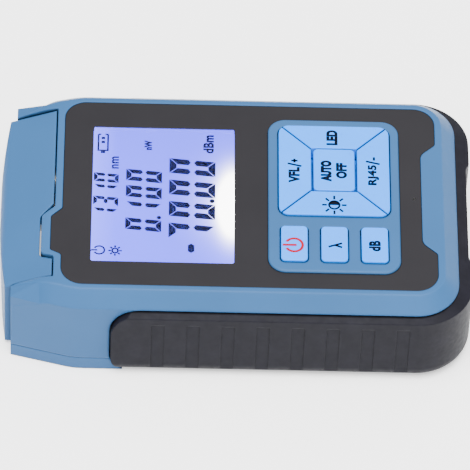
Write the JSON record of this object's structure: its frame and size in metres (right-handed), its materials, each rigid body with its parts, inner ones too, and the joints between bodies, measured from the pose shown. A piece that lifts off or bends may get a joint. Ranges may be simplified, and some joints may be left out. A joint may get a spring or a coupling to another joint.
{
  "type": "optical power meter",
  "caption": "Handheld fibre power meter with backlit display, keypad, visual fault laser port, network cable port, torch and flip dust cover.",
  "frame": {"origin": "centre of the footprint, on the surface that the meter lies on", "axes": "+X to the device's right, +Y towards the port end, +Z out of the face"},
  "size_m": [0.075, 0.12, 0.0281],
  "materials": {
    "casing_blue": "satin moulded ABS",
    "grip_rubber": "satin soft rubber",
    "panel_dark": "matte printed film",
    "clear_window": "clear polished acrylic",
    "lcd_glass": "backlit display",
    "backlight": "milky light guide",
    "circuit_board": "solder mask",
    "chip_black": "moulded epoxy",
    "switch_black": "moulded",
    "key_blue": "satin",
    "lamp_clear": "clear resin",
    "steel": "bright",
    "nickel": "nickel plated",
    "brass": "gold flash",
    "jack_black": "moulded",
    "battery_jacket": "printed jacket"
  },
  "bodies": {
    "housing": {"front_shell": "casing_blue", "rear_shell": "casing_blue", "grip_boot": "grip_rubber", "face_panel": "panel_dark", "lcd_window": "clear_window", "lcd_cell": "lcd_glass", "lcd_backlight": "backlight", "main_board": "circuit_board", "board_components": "chip_black", "key_switches": "switch_black", "indicator_light_pipe": "lamp_clear", "indicator_lamp": "lamp_clear", "hinge_pin": "steel", "power_meter_adapter": "nickel", "photodiode": "steel", "laser_port": "nickel", "laser_module": "brass", "torch_lens": "clear_window", "torch_led": "lamp_clear", "rj45_jack": "jack_black", "rj45_contacts": "brass", "batteries": "battery_jacket", "battery_contacts": "nickel", "battery_springs": "steel", "case_screws": "steel"},
    "key_power": {"key_power": "key_blue"},
    "key_wavelength": {"key_wavelength": "key_blue"},
    "key_db": {"key_db": "key_blue"},
    "key_vfl_plus": {"key_vfl_plus": "key_blue"},
    "key_rj45_minus": {"key_rj45_minus": "key_blue"},
    "key_led": {"key_led": "key_blue"},
    "key_backlight": {"key_backlight": "key_blue"},
    "key_auto_off": {"key_auto_off": "key_blue"},
    "flip_cover": {"flip_cover": "casing_blue"},
    "battery_door": {"battery_door": "casing_blue"}
  },
  "joints": [
    {"name": "key_power_press", "type": "slide", "parent": "housing", "child": "key_power", "axis": [0, 0, -1], "range_m": [0, 0.0005], "stiffness_N_per_m": 2000, "springref_m": -0.0003},
    {"name": "key_wavelength_press", "type": "slide", "parent": "housing", "child": "key_wavelength", "axis": [0, 0, -1], "range_m": [0, 0.0005], "stiffness_N_per_m": 2000, "springref_m": -0.0003},
    {"name": "key_db_press", "type": "slide", "parent": "housing", "child": "key_db", "axis": [0, 0, -1], "range_m": [0, 0.0005], "stiffness_N_per_m": 2000, "springref_m": -0.0003},
    {"name": "key_vfl_plus_press", "type": "slide", "parent": "housing", "child": "key_vfl_plus", "axis": [0, 0, -1], "range_m": [0, 0.0005], "stiffness_N_per_m": 2000, "springref_m": -0.0003},
    {"name": "key_rj45_minus_press", "type": "slide", "parent": "housing", "child": "key_rj45_minus", "axis": [0, 0, -1], "range_m": [0, 0.0005], "stiffness_N_per_m": 2000, "springref_m": -0.0003},
    {"name": "key_led_press", "type": "slide", "parent": "housing", "child": "key_led", "axis": [0, 0, -1], "range_m": [0, 0.0005], "stiffness_N_per_m": 2000, "springref_m": -0.0003},
    {"name": "key_backlight_press", "type": "slide", "parent": "housing", "child": "key_backlight", "axis": [0, 0, -1], "range_m": [0, 0.0005], "stiffness_N_per_m": 2000, "springref_m": -0.0003},
    {"name": "key_auto_off_press", "type": "slide", "parent": "housing", "child": "key_auto_off", "axis": [0, 0, -1], "range_m": [0, 0.0005], "stiffness_N_per_m": 2000, "springref_m": -0.0003},
    {"name": "cover_hinge", "type": "hinge", "parent": "housing", "child": "flip_cover", "pos_m": [0, 0.0542, 0.0034], "axis": [-1, 0, 0], "range_deg": [0, 120]},
    {"name": "battery_door_lift", "type": "slide", "parent": "housing", "child": "battery_door", "axis": [0, 0, -1], "range_m": [0, 0.012]}
  ]
}
